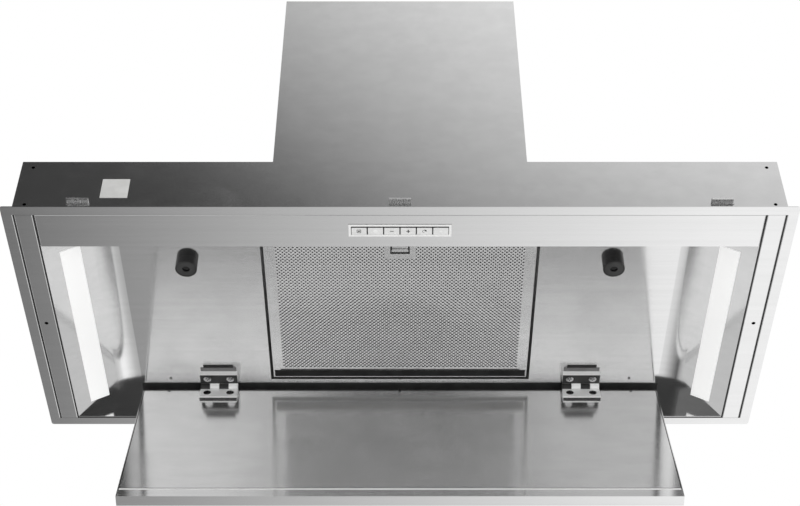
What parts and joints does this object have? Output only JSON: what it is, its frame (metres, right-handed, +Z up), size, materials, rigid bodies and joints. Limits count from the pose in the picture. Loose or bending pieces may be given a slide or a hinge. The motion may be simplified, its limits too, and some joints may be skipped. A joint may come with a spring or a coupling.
{
  "type": "concealed range hood",
  "caption": "Built-in stainless range hood with a drop-down suction panel, grease filter, light bars, keypad, blower and duct collar, shown with its panel hanging open.",
  "frame": {"origin": "centre of the rim in plan, between the two side fixing holes, level with the rim's visible face", "axes": "+X to the right along the hood seen from its front, +Y to its rear, +Z up"},
  "size_m": [0.86, 0.368, 0.64],
  "materials": {
    "brushed_steel": "brushed stainless sheet",
    "galvanised": "galvanised sheet",
    "hinge_steel": "polished nickel plate",
    "screw_steel": "bright zinc plate",
    "filter_aluminium": "anodised sheet and mesh",
    "black_plastic": "fine satin black",
    "rubber": "matt",
    "keypad_trim": "satin silver",
    "button_plastic": "satin light grey",
    "lens": "opal, lit from behind",
    "led_tray": "white",
    "board": "green lacquer",
    "label": "blank label",
    "foam": "sound-damping board",
    "motor_paint": "dark enamel"
  },
  "bodies": {
    "hood": {"blower_scroll_left": "galvanised", "blower_scroll_right": "galvanised", "cable_gland": "black_plastic", "capacitor": "black_plastic", "catch_posts": "black_plastic", "ceiling_screws": "screw_steel", "control_board": "board", "control_box": "black_plastic", "control_lid": "black_plastic", "control_strip": "brushed_steel", "damper_pins": "screw_steel", "duct_collar": "galvanised", "hinge_ceiling_spacers": "hinge_steel", "hinge_fixed_leaves": "hinge_steel", "hinge_pins": "screw_steel", "housing_screws": "screw_steel", "inner_tray": "brushed_steel", "keypad_bezel": "keypad_trim", "keypad_board": "board", "led_boards": "board", "led_diffuser_left": "lens", "led_diffuser_right": "lens", "led_driver": "led_tray", "led_housings": "led_tray", "motor_bracket": "galvanised", "motor_case": "motor_paint", "motor_housing": "brushed_steel", "mounting_clips": "galvanised", "outer_casing": "brushed_steel", "plenum_box": "galvanised", "pot_magnets": "screw_steel", "rating_plate": "label", "rim_frame": "brushed_steel", "rubber_mounts": "rubber", "side_strip_left": "brushed_steel", "side_strip_right": "brushed_steel", "tact_switches": "black_plastic", "top_plate": "galvanised"},
    "panel": {"hinge_moving_leaves": "hinge_steel", "hinge_panel_spacers": "hinge_steel", "panel_outer_skin": "brushed_steel", "panel_inner_skin": "brushed_steel", "panel_core": "foam", "panel_screws": "screw_steel", "panel_rivets": "screw_steel"},
    "filter": {"filter_frame": "filter_aluminium", "filter_face": "filter_aluminium", "filter_mesh": "filter_aluminium", "filter_back": "filter_aluminium", "latch_spring": "filter_aluminium"},
    "filter_latch": {"filter_latch": "filter_aluminium"},
    "impeller": {"impeller": "black_plastic"},
    "damper_flap_front": {"damper_flap_front": "black_plastic"},
    "damper_flap_rear": {"damper_flap_rear": "black_plastic"},
    "button_power": {"button_power": "button_plastic"},
    "button_light": {"button_light": "button_plastic"},
    "button_minus": {"button_minus": "button_plastic"},
    "button_plus": {"button_plus": "button_plastic"},
    "button_timer": {"button_timer": "button_plastic"},
    "button_filter": {"button_filter": "button_plastic"}
  },
  "joints": [
    {"name": "panel", "type": "hinge", "parent": "hood", "child": "panel", "pos_m": [0, 0.145, 0.0275], "axis": [-1, 0, 0], "range_deg": [0, 72.7]},
    {"name": "filter", "type": "hinge", "parent": "hood", "child": "filter", "pos_m": [0, 0.1305, 0.038], "axis": [-1, 0, 0], "range_deg": [-45, 0]},
    {"name": "filter_latch", "type": "slide", "parent": "filter", "child": "filter_latch", "axis": [0, 1, 0], "range_m": [0, 0.004], "stiffness_N_per_m": 600, "springref_m": -0.002, "deforming": ["latch_spring"]},
    {"name": "button_power", "type": "slide", "parent": "hood", "child": "button_power", "axis": [0, 0, 1], "range_m": [0, 0.0012], "stiffness_N_per_m": 500, "springref_m": -0.001},
    {"name": "button_light", "type": "slide", "parent": "hood", "child": "button_light", "axis": [0, 0, 1], "range_m": [0, 0.0012], "stiffness_N_per_m": 500, "springref_m": -0.001},
    {"name": "button_minus", "type": "slide", "parent": "hood", "child": "button_minus", "axis": [0, 0, 1], "range_m": [0, 0.0012], "stiffness_N_per_m": 500, "springref_m": -0.001},
    {"name": "button_plus", "type": "slide", "parent": "hood", "child": "button_plus", "axis": [0, 0, 1], "range_m": [0, 0.0012], "stiffness_N_per_m": 500, "springref_m": -0.001},
    {"name": "button_timer", "type": "slide", "parent": "hood", "child": "button_timer", "axis": [0, 0, 1], "range_m": [0, 0.0012], "stiffness_N_per_m": 500, "springref_m": -0.001},
    {"name": "button_filter", "type": "slide", "parent": "hood", "child": "button_filter", "axis": [0, 0, 1], "range_m": [0, 0.0012], "stiffness_N_per_m": 500, "springref_m": -0.001},
    {"name": "impeller", "type": "hinge", "parent": "hood", "child": "impeller", "pos_m": [0, -0.014, 0.222], "axis": [1, 0, 0], "continuous": true},
    {"name": "damper_flap_front", "type": "hinge", "parent": "hood", "child": "damper_flap_front", "pos_m": [0, 0.0278, 0.421], "axis": [-1, 0, 0], "range_deg": [0, 80]},
    {"name": "damper_flap_rear", "type": "hinge", "parent": "hood", "child": "damper_flap_rear", "pos_m": [0, 0.0322, 0.421], "axis": [1, 0, 0], "range_deg": [0, 80]}
  ]
}
